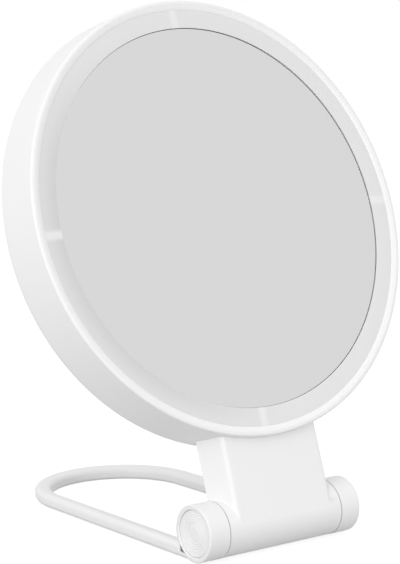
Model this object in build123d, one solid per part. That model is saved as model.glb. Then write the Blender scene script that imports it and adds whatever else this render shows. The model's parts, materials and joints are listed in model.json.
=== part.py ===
from build123d import *
import os
from math import atan2, cos, degrees, radians, sin, tan

# Lighted makeup mirror on a folding loop stand. Millimetres, +Z up, mirror facing -Y.
# The origin is on the table, midway between the object's ends in X and Y.

# Stand and hinge sizes
barrel_axis_height = 11.03
barrel_clearance_below = 0.08
barrel_half_length = 27.43
barrel_wall = 2.0
barrel_end_wall = 3.4
seam_gap = 0.45
cap_width = 9.35
cap_edge_round = 0.6
cap_inner_wall = 2.2
cap_rim_wall = 2.0
cap_rim_bevel = 0.4
disc_recess = 0.4
leg_width = 7.2
leg_outer_height = 6.0
leg_inner_height = 5.0
leg_top_round = 2.3
leg_outer_bottom_round = 2.2
leg_inner_bottom_round = 1.5
leg_inset = 0.05
loop_reach = 137.0
notch_rear = 8.2
notch_front = 4.5
notch_top_drop = 4.0
notch_rear_drop = 8.3
notch_front_drop = 8.65
notch_inner_radius = 9.9
notch_depth = 5.5

# Head sizes
head_tilt = 18.3
drum_bottom = 28.9
rim_front_round = 0.9
housing_flare = 1.9
housing_back_round = 3.0
housing_wall = 2.2
back_wall = 2.0
lip_width = 1.6
shelf_width = 1.8
shelf_thickness = 1.6

# Mirror and light ring sizes, depths counted back from the lip's front
glass_radius = 77.0
glass_thickness = 3.0
glass_depth = 1.9
glass_edge_bevel = 0.4
glass_gap = 0.25
foam_disc_thickness = 0.8
foam_disc_margin = 2.0
frame_thickness = 1.8
frame_skirt_wall = 1.8
frame_flange_thickness = 1.2
post_root = 0.5
post_pilot_cover = 0.8
diffuser_inner_depth = 1.35
diffuser_outer_depth = 1.25
diffuser_width = 7.05
diffuser_flange_width = 0.9
diffuser_thickness = 1.6
diffuser_lip_width = 1.2
diffuser_edge_round = 0.35
bezel_front_depth = 0.45
bezel_bevel_width = 1.35
bezel_land_width = 0.33
bezel_skirt_wall = 0.65
bezel_groove = 0.42
bezel_edge_round = 0.2
reflector_wall = 0.8
reflector_gap = 0.25
rib_width = 2.0
rib_count = 4
lamp_board_thickness = 1.2
lamp_count = 32
lamp_width = 3.5
lamp_depth = 2.8
lamp_height = 0.8

# Neck sizes
neck_front_slant = 4.47
neck_back_slant = 4.23
neck_back_offset = 5.0
neck_cover_thickness = 2.1
neck_wall = 2.2
neck_edge_round = 2.2
neck_widest_offset = 0.0
neck_reach_up = 14.0
neck_cover_gap = 0.3
tongue_side_inset = 4.96
tongue_offset = 1.5
tongue_back_gap = 0.6
tongue_thickness = 3.3
tongue_height = 19.5
tongue_root_depth = 2.0
tongue_anchor_lift = 2.0
wire_channel_width = 7.0
wire_channel_depth = 1.7

# Fits, and how far cutting shapes run past what they cut
face_clearance = 0.1
slide_clearance = 0.12
turning_clearance = 0.04
washer_clearance = 0.15
pin_end_clearance = 0.2
screw_clearance = 0.05
part_clearance = 0.3
past = 1.0
block_reach = 40.0
axle_radius = 5.0
axle_bore = 3.1
axle_flange_radius = 7.2
axle_flange_thickness = 1.2
bush_wall = 1.5
bush_flange_width = 1.4
bush_flange_thickness = 1.0
friction_washer_thickness = 0.5
spring_washer_thickness = 0.8
nut_thickness = 3.0
nut_across_flats = 13.0
nut_rim_radius = 7.0
nut_corner_radius = 7.7
nut_round = 0.9

# Power button and switch
button_travel = 0.6
button_disc_thickness = 1.3
button_stem_radius = 1.1
hook_width = 2.4
hook_thickness = 0.9
hook_catch = 0.5
hook_count = 3
ledge_thickness = 0.8
ledge_width = 1.5
disc_edge_bevel = 0.25
turned_ring_count = 6
turned_ring_start = 3.3
turned_ring_pitch = 0.95
turned_ring_depth = 0.2
turned_ring_width = 0.75
switch_board_radius = 6.0
switch_board_thickness = 0.8
switch_board_standoff = 0.6
switch_size = 5.2
switch_height = 1.5
plunger_radius = 1.2
plunger_sunk = 0.9
plunger_rest_gap = 0.05
spacer_step = 0.9
spacer_wall = 1.1

# Battery compartment and its door
cell_radius = 5.2
cell_length = 43.7
cell_nub_radius = 1.9
cell_nub_length = 0.8
cell_count = 4
cell_gap = 0.3
cell_edge_round = 0.5
contact_thickness = 0.4
contact_width = 8.0
contact_height = 8.4
spring_length = 3.0
spring_radius = 3.4
spring_top_radius = 2.2
spring_wire = 0.5
spring_turns = 3
box_wall = 1.2
box_floor = 0.7
box_front_gap = 0.1
box_flange_thickness = 1.2
tab_margin = 1.0
door_frame_width = 3.0
door_frame_thickness = 3.2
door_thickness = 2.0
door_sunk = 0.2
door_edge_gap = 0.25
door_overlap = 1.1
door_round_margin = 0.01
door_centre_below_head = 9.0
pivot_radius = 0.8
pivot_length = 1.2
latch_width = 10.0
latch_length = 3.2
latch_thickness = 0.9
finger_notch_radius = 7.0
finger_notch_lift = 5.0
finger_notch_depth = 1.2
latch_slit_width = 0.8
latch_root = 1.0
grip_count = 3
grip_pitch = 1.4
grip_width = 0.6
grip_depth = 0.3
grip_margin = 0.75
grip_below_top = 2.8
foam_strip_thickness = 0.5
foam_strip_height = 12.0
foam_strip_margin = 2.0

# Screws; the slot and rounding are shares of the head
screw_radius = 1.2
screw_head_radius = 2.2
screw_head_height = 1.3
screw_head_rounding = 0.45
screw_slot_length = 1.1
screw_slot_width = 0.25
boss_wall = 1.9
post_inset = 17.0
post_length = 4.0
frame_screw_floor = 1.8
frame_screw_length = 6.5
neck_screw_length = 5.2
neck_screw_inset = 6.0
cover_screw_length = 5.0
cover_screw_inset = 10.2
box_screw_length = 2.8
small_screw_radius = 0.8
small_head_radius = 1.5
small_head_height = 0.8
board_screw_length = 4.2

# Driver board and wires
driver_width = 34.0
driver_height = 16.0
driver_thickness = 1.2
driver_standoff = 1.5
driver_gap = 3.2
board_edge_margin = 0.4
chip_size = 5.0
chip_height = 1.1
chip_lift = 1.5
coil_radius = 3.0
coil_height = 2.6
coil_lift = 2.0
capacitor_radius = 2.0
capacitor_height = 3.4
plug_width = 6.0
plug_depth = 3.2
plug_height = 3.0
plug_spacing = 20.0
wire_radius = 0.55
wire_spacing = 1.6
wire_gap = 0.2
wire_step = 2.0
wire_drop = 8.0

# Places worked out from the sizes above
cap_radius = barrel_axis_height
barrel_radius = cap_radius - barrel_clearance_below
barrel_bore = barrel_radius - barrel_wall
cap_inside = barrel_half_length + seam_gap
cap_outside = cap_inside + cap_width
cap_bore = cap_radius - cap_rim_wall
leg_centre = cap_outside - leg_inset - leg_width / 2
loop_end_radius = leg_centre
loop_end_centre = loop_reach - loop_end_radius
disc_radius = cap_bore - slide_clearance
disc_outside = cap_outside - disc_recess
disc_inside = disc_outside - button_disc_thickness
ledge_outside = disc_inside - button_travel - face_clearance
ledge_inside = ledge_outside - ledge_thickness
ledge_radius = cap_bore - ledge_width
axle_flange_inside = cap_inside + cap_inner_wall
axle_flange_outside = axle_flange_inside + axle_flange_thickness
bush_bore = axle_radius + turning_clearance
bush_radius = bush_bore + bush_wall
bush_flange_radius = bush_radius + bush_flange_width
washer_outside = cap_inside - face_clearance
washer_inside = washer_outside - friction_washer_thickness
bush_outside = washer_inside
barrel_end_floor = bush_outside - bush_flange_thickness
bush_inside = barrel_half_length - barrel_end_wall
spring_washer_outside = bush_inside - face_clearance
spring_washer_inside = spring_washer_outside - spring_washer_thickness
nut_inside = spring_washer_inside - nut_thickness

switch_board_inside = axle_flange_outside + switch_board_standoff
switch_board_outside = switch_board_inside + switch_board_thickness
switch_outside = switch_board_outside + switch_height
plunger_inside = switch_outside - plunger_sunk
hook_circle = ledge_radius - slide_clearance - hook_thickness / 2

diffuser_inner_radius = glass_radius + glass_gap
diffuser_outer_radius = diffuser_inner_radius + diffuser_width
bezel_outer_radius = diffuser_outer_radius + bezel_bevel_width + bezel_land_width
lip_inner_radius = bezel_outer_radius + bezel_groove
rim_radius = lip_inner_radius + lip_width
housing_rear_radius = rim_radius + housing_flare
head_centre_height = drum_bottom + housing_rear_radius
post_circle_radius = glass_radius - post_inset
diffuser_lip_radius = diffuser_inner_radius + diffuser_lip_width
diffuser_flange_radius = diffuser_outer_radius + diffuser_flange_width
glass_back = glass_depth + glass_thickness
frame_front = glass_back + foam_disc_thickness
frame_back = frame_front + frame_thickness
frame_radius = diffuser_lip_radius + face_clearance
frame_skirt_inner = frame_radius - frame_skirt_wall
frame_flange_radius = lip_inner_radius - part_clearance
box_floor_front = frame_back + box_front_gap
box_floor_back = box_floor_front + box_floor
cell_depth = box_floor_back + face_clearance + cell_radius
door_inside = cell_depth + cell_radius + foam_strip_thickness + face_clearance
door_outside = door_inside + door_thickness
housing_depth = door_outside + door_sunk
back_inside = housing_depth - back_wall
tongue_back_depth = back_inside - tongue_back_gap
tongue_front_depth = tongue_back_depth - tongue_thickness
frame_flange_back = tongue_front_depth - part_clearance
frame_flange_depth = frame_flange_back - frame_flange_thickness
rim_ahead_of_axis = tongue_front_depth - tongue_offset
shelf_radius = frame_flange_radius - shelf_width
lamp_board_front = frame_flange_depth - lamp_board_thickness
lamp_board_inner = frame_radius + reflector_gap
lamp_board_outer = frame_flange_radius - reflector_gap
lamp_circle = (lamp_board_inner + lamp_board_outer) / 2
reflector_front = diffuser_outer_depth + diffuser_thickness + reflector_gap

door_opening_depth = housing_depth - door_frame_thickness
box_flange_back = door_opening_depth
box_flange_front = box_flange_back - box_flange_thickness
cell_pitch = 2 * cell_radius + cell_gap
cell_stack_length = cell_length + cell_nub_length + spring_length + 2 * contact_thickness
box_inner_width = cell_count * cell_pitch + cell_gap
box_inner_height = cell_stack_length + 4 * face_clearance
door_width = box_inner_width + 2 * door_overlap
door_height = box_inner_height + 2 * door_overlap
door_centre = head_centre_height - door_centre_below_head
door_bottom = door_centre - door_height / 2
door_top = door_centre + door_height / 2
pivot_depth = (door_inside + door_outside) / 2
pivot_height = door_bottom + door_thickness / 2

neck_cover_front = neck_back_offset - neck_cover_thickness
neck_front_half_width = barrel_half_length - neck_front_slant
neck_back_half_width = barrel_half_length - neck_back_slant
tongue_half_width = neck_front_half_width - tongue_side_inset
neck_top = drum_bottom + neck_reach_up
tongue_top = drum_bottom + housing_wall + tongue_height
neck_screw_height = tongue_top - boss_wall - screw_head_radius
neck_screw_spacing = 2 * (tongue_half_width - neck_screw_inset)
cover_screw_spacing = 2 * (neck_back_half_width - cover_screw_inset)
cover_bottom = barrel_radius + part_clearance
driver_bottom = tongue_top + driver_gap
driver_back = back_inside - driver_standoff
driver_front = driver_back - driver_thickness

front_reach = cap_radius
back_reach = loop_reach + leg_width / 2
axis_y = (front_reach - back_reach) / 2


def depth_y(depth):
    """Y of a depth counted back from the lip, in the head's upright frame."""
    return depth - rim_ahead_of_axis


def polygon(*points):
    return make_face(Polyline(*points, close=True))


def rounded(face, corners):
    """Round the corners of a flat face that lie nearest the given points."""
    for point, radius in corners:
        corner = face.vertices().sort_by_distance((point[0], point[1], 0))[0]
        face = fillet(corner, radius)
    return face


def turned_head(face):
    """Turn a (radius, depth) outline about the head's own axis."""
    return Pos(0, depth_y(0), head_centre_height) * revolve(face, axis=Axis.Y)


def turned_hinge(face):
    """Turn a (distance along the axis, radius) outline about the hinge axis."""
    return revolve(face, axis=Axis.X)


def hinge_ring(near, far, inner, outer):
    return turned_hinge(polygon((near, inner), (far, inner), (far, outer), (near, outer)))


def both_sides(shape):
    """The same piece at both ends of the hinge."""
    return [shape, mirror(shape, about=Plane.YZ)]


def back_cylinder(x, z, front, back, radius):
    """A cylinder along the depth direction between two depths."""
    middle = depth_y((front + back) / 2)
    return Pos(x, middle, z) * Rot(90, 0, 0) * Cylinder(radius, back - front)


def depth_box(x, z, width, height, front, back):
    """A box centred on (x, z) between two depths."""
    middle = depth_y((front + back) / 2)
    return Pos(x, middle, z) * Box(width, back - front, height)


def screw(length, shank, head, head_height):
    """A pan head screw along +Z whose head rests on Z = 0 and whose shank goes down."""
    body = Pos(0, 0, -length / 2) * Cylinder(shank, length)
    top = Pos(0, 0, head_height / 2) * Cylinder(head, head_height)
    top = fillet(top.faces().sort_by(Axis.Z)[-1].edges(), head_height * screw_head_rounding)
    slot = Pos(0, 0, head_height) * Box(head * screw_slot_length, head * screw_slot_width, head_height)
    cross = Pos(0, 0, head_height) * Box(head * screw_slot_width, head * screw_slot_length, head_height)
    return body + top - slot - cross


def group(shapes):
    return Compound(children=list(shapes))


def tilt(shape):
    """From the head's upright frame to its place at rest."""
    return Pos(0, axis_y, barrel_axis_height) * Rot(-head_tilt, 0, 0) * shape


def stand_place(shape):
    """From the hinge axis to its place above the table."""
    return Pos(0, axis_y, barrel_axis_height) * shape


# Stand

def leg_section():
    """The bar's rounded outline on its base line, a little lower on the side inside the loop."""
    half = leg_width / 2
    outline = polygon((-half, 0), (half, 0), (half, leg_outer_height), (-half, leg_inner_height))
    rounds = [
        ((-half, 0), leg_inner_bottom_round),
        ((half, 0), leg_outer_bottom_round),
        ((half, leg_outer_height), leg_top_round),
        ((-half, leg_inner_height), leg_top_round),
    ]
    return rounded(outline, rounds)


def loop_bar():
    """Two straight legs and a half circle, resting on the table."""
    section = Pos(leg_centre, 0, -barrel_axis_height) * (Plane.XZ * leg_section())
    leg = extrude(section, amount=-loop_end_centre)
    other = mirror(leg, about=Plane.YZ)
    start = Pos(0, loop_end_centre, 0) * section
    bend = revolve(start, axis=Axis((0, loop_end_centre, 0), (0, 0, 1)), revolution_arc=180)
    return leg + bend + other


def cap_shell():
    """One end cap: rounded outer edge, bore for the disc, ledge for its hooks."""
    outline = polygon(
        (cap_inside, 0),
        (cap_outside, 0),
        (cap_outside, cap_radius),
        (cap_inside, cap_radius),
    )
    outline = rounded(outline, [((cap_outside, cap_radius), cap_edge_round)])
    return turned_hinge(outline)


def cap_hollow():
    bore = hinge_ring(ledge_outside, cap_outside + past, 0, cap_bore)
    bevel_outline = polygon(
        (cap_outside - cap_rim_bevel, 0),
        (cap_outside + past, 0),
        (cap_outside + past, cap_bore + cap_rim_bevel + past),
        (cap_outside - cap_rim_bevel, cap_bore),
    )
    bore += turned_hinge(bevel_outline)
    ledge_hole = hinge_ring(ledge_inside - past, ledge_outside + past, 0, ledge_radius)
    chamber = hinge_ring(axle_flange_inside, ledge_inside, 0, cap_bore)
    axle_hole = hinge_ring(cap_inside - past, axle_flange_inside + past, 0, axle_radius)
    return bore + ledge_hole + chamber + axle_hole


def cap_notch():
    """A small wedge-shaped pocket between the cap's round rim and the leg's outer face."""
    outline = polygon(
        (notch_rear, -notch_rear_drop),
        (notch_rear, -notch_top_drop),
        (notch_front, -notch_front_drop),
    )
    wedge = Pos(cap_outside, 0, 0) * extrude(Plane.YZ * outline, amount=notch_depth, both=True)
    rim = hinge_ring(cap_inside, cap_outside + notch_depth, 0, notch_inner_radius)
    return wedge - rim


def stand_loop():
    body = loop_bar()
    for cap in both_sides(cap_shell()):
        body += cap
    for hollow in both_sides(cap_hollow()) + both_sides(cap_notch()):
        body -= hollow
    return body


def hinge_axle():
    outline = polygon(
        (nut_inside, axle_bore),
        (axle_flange_outside, axle_bore),
        (axle_flange_outside, axle_flange_radius),
        (axle_flange_inside, axle_flange_radius),
        (axle_flange_inside, axle_radius),
        (nut_inside, axle_radius),
    )
    return turned_hinge(outline)


def axle_nut():
    """Hexagon nut whose corners are rounded on the side away from the washer."""
    blank = extrude(RegularPolygon(nut_across_flats / 2, 6, major_radius=False), nut_thickness)
    blank = Pos(nut_inside, 0, 0) * Rot(0, 90, 0) * blank
    round_off = polygon(
        (nut_inside, 0),
        (spring_washer_inside, 0),
        (spring_washer_inside, nut_corner_radius),
        (nut_inside + nut_round, nut_corner_radius),
        (nut_inside, nut_rim_radius),
    )
    hole = hinge_ring(nut_inside - past, spring_washer_inside + past, 0, axle_radius)
    return (blank & turned_hinge(round_off)) - hole


def spring_washer():
    inner = axle_radius + washer_clearance
    return hinge_ring(spring_washer_inside, spring_washer_outside, inner, bush_radius)


def friction_washer():
    inner = axle_radius + washer_clearance
    outer = bush_flange_radius - washer_clearance
    return hinge_ring(washer_inside, washer_outside, inner, outer)


def hinge_bush():
    outline = polygon(
        (bush_inside, bush_bore),
        (bush_outside, bush_bore),
        (bush_outside, bush_flange_radius),
        (barrel_end_floor, bush_flange_radius),
        (barrel_end_floor, bush_radius),
        (bush_inside, bush_radius),
    )
    return turned_hinge(outline)


# Disc that closes each cap; the near one is the power button

def turned_disc():
    """A disc with fine turned grooves in its face, on the +X side."""
    disc = hinge_ring(disc_inside, disc_outside, 0, disc_radius)
    disc = chamfer(disc.edges().group_by(Axis.X)[-1], disc_edge_bevel)
    bottom = disc_outside - turned_ring_depth
    above = disc_outside + turned_ring_depth
    for count in range(turned_ring_count):
        middle = turned_ring_start + turned_ring_pitch * count
        inner = middle - turned_ring_width
        outer = middle + turned_ring_width
        disc -= turned_hinge(polygon((bottom, middle), (above, inner), (above, outer)))
    return disc


def disc_hooks():
    """Legs that pass through the cap's ledge and catch behind it."""
    catch_front = ledge_inside - face_clearance
    catch_back = catch_front - hook_catch
    leg_middle = (catch_back + disc_inside) / 2
    hooks = []
    for count in range(hook_count):
        leg = Box(disc_inside - catch_back, hook_width, hook_thickness)
        leg = Pos(leg_middle, 0, hook_circle) * leg
        barb_out = (hook_thickness + hook_catch) / 2
        barb = Pos((catch_front + catch_back) / 2, 0, hook_circle + barb_out)
        barb = barb * Box(hook_catch, hook_width, hook_catch)
        hooks.append(Rot(count * 360 / hook_count, 0, 0) * (leg + barb))
    return hooks


def hooked_disc():
    body = turned_disc()
    for hook in disc_hooks():
        body += hook
    return body


def power_button():
    """The near disc, with the stem that works the switch."""
    stem_end = switch_outside + plunger_sunk / 2 + face_clearance
    stem = hinge_ring(stem_end, disc_inside, 0, button_stem_radius)
    return mirror(hooked_disc() + stem, about=Plane.YZ)


def hinge_cover():
    return hooked_disc()


def switch_plunger():
    far = switch_outside + plunger_sunk / 2
    near = plunger_inside + button_travel - plunger_sunk / 2
    return mirror(hinge_ring(near, far, 0, plunger_radius), about=Plane.YZ)


def switch_body():
    middle = (switch_board_outside + switch_outside) / 2
    body = Pos(middle, 0, 0) * Box(switch_height, switch_size, switch_size)
    well = plunger_radius + slide_clearance
    bottom = plunger_inside - plunger_sunk / 2 - plunger_rest_gap
    body -= hinge_ring(bottom, switch_outside + past, 0, well)
    return mirror(body, about=Plane.YZ)


def switch_board():
    board = hinge_ring(switch_board_inside, switch_board_outside, 0, switch_board_radius)
    spacer_inner = axle_bore + spacer_step
    spacer_outer = spacer_inner + spacer_wall
    board += hinge_ring(axle_flange_outside, switch_board_inside, spacer_inner, spacer_outer)
    return mirror(board, about=Plane.YZ)


def switch_wires():
    """Two wires from the switch board through the hollow axle into the barrel."""
    wires = []
    for side in (-1, 1):
        y = side * wire_spacing / 2
        wires.append(wire_along([(-switch_board_inside, y, 0), (-(nut_inside - wire_step), y, 0)]))
    return wires


def wire_along(points):
    """A round wire with balls at its bends, along straight runs."""
    body = None
    for start, end in zip(points, points[1:]):
        run = Vector(*end) - Vector(*start)
        tube = Solid.make_cylinder(wire_radius, run.length, Plane(origin=start, z_dir=run))
        body = tube if body is None else body + tube
    for point in points[1:-1]:
        body += Pos(*point) * Sphere(wire_radius)
    return body


# Neck

def neck_front_plane():
    return -cap_radius + barrel_clearance_below


def neck_outline(inset, back):
    """Cross-section of the neck in X and Y, up to the given back plane."""
    front_y = neck_front_plane() + inset
    slant = barrel_half_length - neck_front_half_width
    side_angle = atan2(slant, neck_widest_offset - neck_front_plane())
    side_inset = inset / cos(side_angle)
    front_x = neck_front_half_width + inset * tan(side_angle) - side_inset
    wide_x = barrel_half_length - side_inset
    points = [(-front_x, front_y), (front_x, front_y), (wide_x, neck_widest_offset)]
    if back > neck_widest_offset:
        share = (back - neck_widest_offset) / (neck_back_offset - neck_widest_offset)
        back_x = wide_x + (neck_back_half_width - barrel_half_length) * share
        points += [(back_x, back), (-back_x, back)]
    points.append((-wide_x, neck_widest_offset))
    return polygon(*points)


def drum_block(extra):
    """The housing's outside as one solid block, grown by a gap."""
    outline = polygon(
        (0, -block_reach),
        (rim_radius + extra, -block_reach),
        (rim_radius + extra, 0),
        (housing_rear_radius + extra, housing_depth),
        (housing_rear_radius + extra, block_reach),
        (0, block_reach),
    )
    return turned_head(outline)


def block(width, front, back, low, high):
    """A box centred on X = 0 between two Y places and two heights."""
    return Pos(0, (front + back) / 2, (low + high) / 2) * Box(width, back - front, high - low)


def tongue(gap):
    """The tab that rises from the neck into the housing, behind the frame, grown by a gap."""
    front = depth_y(tongue_front_depth) - gap
    back = depth_y(tongue_back_depth) + gap
    low = drum_bottom - tongue_root_depth - gap
    return block(2 * tongue_half_width + 2 * gap, front, back, low, tongue_top + gap)


def tongue_anchor():
    """Solid web inside the neck that carries the tongue."""
    front = depth_y(tongue_front_depth) - neck_wall
    low = cover_bottom + tongue_anchor_lift
    web = block(2 * tongue_half_width, front, neck_cover_front, low, drum_bottom + housing_wall)
    return web & extrude(neck_outline(neck_wall / 2, neck_cover_front), neck_top)


def cover_screw_holes(radius, low_y, high_y):
    """Holes for the two cover screws, between two Y places."""
    holes = []
    for x in spread(cover_screw_spacing, 2):
        spot = Pos(x, (low_y + high_y) / 2, cover_screw_height())
        holes.append(spot * Rot(90, 0, 0) * Cylinder(radius, high_y - low_y))
    return holes


def neck_shell():
    """Front and sides of the neck in one piece with the hinge barrel."""
    outer = extrude(neck_outline(0, neck_cover_front), neck_top)
    outer = fillet(outer.edges().filter_by(Axis.Z).group_by(Axis.Y)[0], neck_edge_round)
    body = outer + hinge_ring(-barrel_half_length, barrel_half_length, 0, barrel_radius)
    hollow = extrude(neck_outline(neck_wall, neck_cover_front + past), neck_top)
    body -= hollow - drum_block(housing_wall)
    body += tongue_anchor()
    body -= drum_block(0)
    body += tongue(0)
    body -= hinge_ring(-bush_inside, bush_inside, 0, barrel_bore)
    for side in both_sides(hinge_ring(bush_inside - past, barrel_half_length + past, 0, bush_radius)):
        body -= side
    for side in both_sides(hinge_ring(barrel_end_floor, barrel_half_length + past, 0, bush_flange_radius)):
        body -= side
    channel_front = depth_y(tongue_front_depth) - neck_wall - past
    channel_back = depth_y(tongue_front_depth) + wire_channel_depth
    body -= block(wire_channel_width, channel_front, channel_back, 0, 2 * tongue_top)
    for x in spread(neck_screw_spacing, 2):
        body -= back_cylinder(x, neck_screw_height, 0, housing_depth, screw_radius + part_clearance)
    screw_tip = neck_back_offset - cover_screw_length - past / 2
    for hole in cover_screw_holes(screw_radius + screw_clearance, screw_tip, neck_back_offset):
        body -= hole
    return body


def cover_screw_height():
    return (cover_bottom + drum_bottom) / 2


def spread(spacing, count):
    """Places along a line, centred on zero."""
    return [spacing * (number / (count - 1) - 0.5) for number in range(count)]


def neck_back_cover():
    plate = extrude(neck_outline(0, neck_back_offset), neck_top)
    plate -= block(2 * block_reach, -block_reach, neck_cover_front, -past, neck_top + past)
    plate -= drum_block(neck_cover_gap)
    plate -= hinge_ring(-cap_outside, cap_outside, 0, barrel_radius + part_clearance)
    plate -= tongue(part_clearance)
    outside = neck_back_offset + past
    for hole in cover_screw_holes(screw_radius + screw_clearance, neck_cover_front - past, outside):
        plate -= hole
    head_floor = neck_back_offset - screw_head_height
    for sink in cover_screw_holes(screw_head_radius + part_clearance, head_floor, outside):
        plate -= sink
    return plate


def cover_screws():
    place_y = neck_back_offset - screw_head_height
    screws = []
    for x in spread(cover_screw_spacing, 2):
        length = cover_screw_length - screw_head_height
        piece = screw(length, screw_radius, screw_head_radius, screw_head_height)
        screws.append(Pos(x, place_y, cover_screw_height()) * Rot(-90, 0, 0) * piece)
    return screws


def neck_screws():
    screws = []
    for x in spread(neck_screw_spacing, 2):
        piece = screw(neck_screw_length, screw_radius, screw_head_radius, screw_head_height)
        screws.append(Pos(x, depth_y(tongue_front_depth), neck_screw_height) * Rot(90, 0, 0) * piece)
    return screws


# Housing and what closes it

def post_places():
    """X and Z of the frame's four screw posts."""
    places = []
    for count in range(4):
        angle = radians(45 + 90 * count)
        x = post_circle_radius * cos(angle)
        places.append((x, head_centre_height + post_circle_radius * sin(angle)))
    return places


def wall_radius(depth):
    """Outside radius of the housing at a depth."""
    return rim_radius + (housing_rear_radius - rim_radius) * depth / housing_depth


def housing_blank():
    inner_rear = wall_radius(back_inside) - housing_wall
    inner_shelf = wall_radius(frame_flange_back) - housing_wall
    outline = polygon(
        (lip_inner_radius, 0),
        (rim_radius, 0),
        (housing_rear_radius, housing_depth),
        (0, housing_depth),
        (0, back_inside),
        (inner_rear, back_inside),
        (inner_shelf, frame_flange_back + shelf_thickness),
        (shelf_radius, frame_flange_back + shelf_thickness),
        (shelf_radius, frame_flange_back),
        (lip_inner_radius, frame_flange_back),
    )
    outline = rounded(outline, [
        ((rim_radius, 0), rim_front_round),
        ((housing_rear_radius, housing_depth), housing_back_round),
    ])
    return turned_head(outline)


def box_screw_places():
    """X and Z of the four screws that hold the battery box."""
    half_width = door_width / 2 + door_frame_width + small_head_radius
    half_height = door_height / 2 - small_head_radius * 2
    return [(sx * half_width, door_centre + sz * half_height) for sx in (-1, 1) for sz in (-1, 1)]


def driver_screw_places():
    half = driver_width / 2 - small_head_radius - board_edge_margin
    return [(sx * half, driver_bottom + driver_height / 2) for sx in (-1, 1)]


def rear_housing():
    body = housing_blank()
    frame_outer_width = door_width + 2 * door_edge_gap + 2 * door_frame_width
    frame_outer_height = door_height + 2 * door_edge_gap + 2 * door_frame_width
    body += depth_box(0, door_centre, frame_outer_width, frame_outer_height, door_opening_depth, back_inside)
    opening_width = door_width + 2 * door_edge_gap
    opening_height = door_height + 2 * door_edge_gap
    opening_front = door_opening_depth - past
    body -= depth_box(0, door_centre, opening_width, opening_height, opening_front, housing_depth + past)
    pin_hole = pivot_radius + 2 * turning_clearance
    hole_span = door_width + 2 * (door_edge_gap + pivot_length + pin_end_clearance)
    body -= Pos(0, depth_y(pivot_depth), pivot_height) * Rot(0, 90, 0) * Cylinder(pin_hole, hole_span)
    notch_floor = door_outside - finger_notch_depth
    notch_middle = door_top + finger_notch_lift
    body -= back_cylinder(0, notch_middle, notch_floor, housing_depth + past, finger_notch_radius)
    slot_width = latch_width + 2 * part_clearance
    slot_front = door_opening_depth - face_clearance
    slot_back = door_inside + latch_thickness + part_clearance
    body -= depth_box(0, door_top, slot_width, 2 * latch_length, slot_front, slot_back)
    boss_radius = screw_radius + boss_wall
    for x, z in post_places():
        body += back_cylinder(x, z, frame_back + post_length, back_inside, screw_head_radius + boss_wall)
        floor = frame_back + post_length + frame_screw_floor
        body -= back_cylinder(x, z, floor, housing_depth + past, screw_head_radius + part_clearance)
        body -= back_cylinder(x, z, frame_back, floor + past, screw_radius + part_clearance)
    for x in spread(neck_screw_spacing, 2):
        body += back_cylinder(x, neck_screw_height, tongue_back_depth, back_inside, boss_radius)
        tip = tongue_front_depth + neck_screw_length + part_clearance
        start = tongue_back_depth - past
        body -= back_cylinder(x, neck_screw_height, start, tip, screw_radius + screw_clearance)
    for x, z in box_screw_places():
        body += back_cylinder(x, z, box_flange_back, back_inside, small_screw_radius + boss_wall)
        tip = box_flange_front + box_screw_length + part_clearance
        body -= back_cylinder(x, z, box_flange_back - past, tip, small_screw_radius + screw_clearance)
    for x, z in driver_screw_places():
        body += back_cylinder(x, z, driver_back, back_inside, small_screw_radius + boss_wall)
        tip = driver_front + board_screw_length + part_clearance
        body -= back_cylinder(x, z, driver_back - past, tip, small_screw_radius + screw_clearance)
    body -= tongue(face_clearance)
    return body


def front_bezel():
    """Bevelled ring that holds the light ring in, with a fine groove outside it."""
    bevel_top = diffuser_outer_radius + bezel_bevel_width
    skirt_inner = bezel_outer_radius - bezel_skirt_wall
    outline = polygon(
        (diffuser_outer_radius, diffuser_outer_depth),
        (bevel_top, bezel_front_depth),
        (bezel_outer_radius, bezel_front_depth),
        (bezel_outer_radius, reflector_front),
        (skirt_inner, reflector_front),
        (skirt_inner, diffuser_outer_depth),
    )
    outline = rounded(outline, [((bezel_outer_radius, bezel_front_depth), bezel_edge_round)])
    return turned_head(outline)


def diffuser_ring():
    """Frosted ring: front face, flange under the bezel, lip standing on the frame."""
    outer_back = diffuser_outer_depth + diffuser_thickness
    inner_back = diffuser_inner_depth + diffuser_thickness
    outline = polygon(
        (diffuser_inner_radius, diffuser_inner_depth),
        (diffuser_outer_radius, diffuser_outer_depth),
        (diffuser_flange_radius, diffuser_outer_depth),
        (diffuser_flange_radius, outer_back),
        (diffuser_outer_radius, outer_back),
        (diffuser_lip_radius, inner_back),
        (diffuser_lip_radius, frame_front),
        (diffuser_inner_radius, frame_front),
    )
    outline = rounded(outline, [((diffuser_inner_radius, diffuser_inner_depth), diffuser_edge_round)])
    return turned_head(outline)


def mirror_glass():
    outline = polygon(
        (0, glass_depth),
        (glass_radius - glass_edge_bevel, glass_depth),
        (glass_radius, glass_depth + glass_edge_bevel),
        (glass_radius, glass_back),
        (0, glass_back),
    )
    return turned_head(outline)


def ring(inner, outer, front, back):
    """A plain ring or disc on the head's axis."""
    return turned_head(polygon((inner, front), (outer, front), (outer, back), (inner, back)))


def foam_disc():
    return ring(0, glass_radius - foam_disc_margin, glass_back, frame_front)


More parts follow.
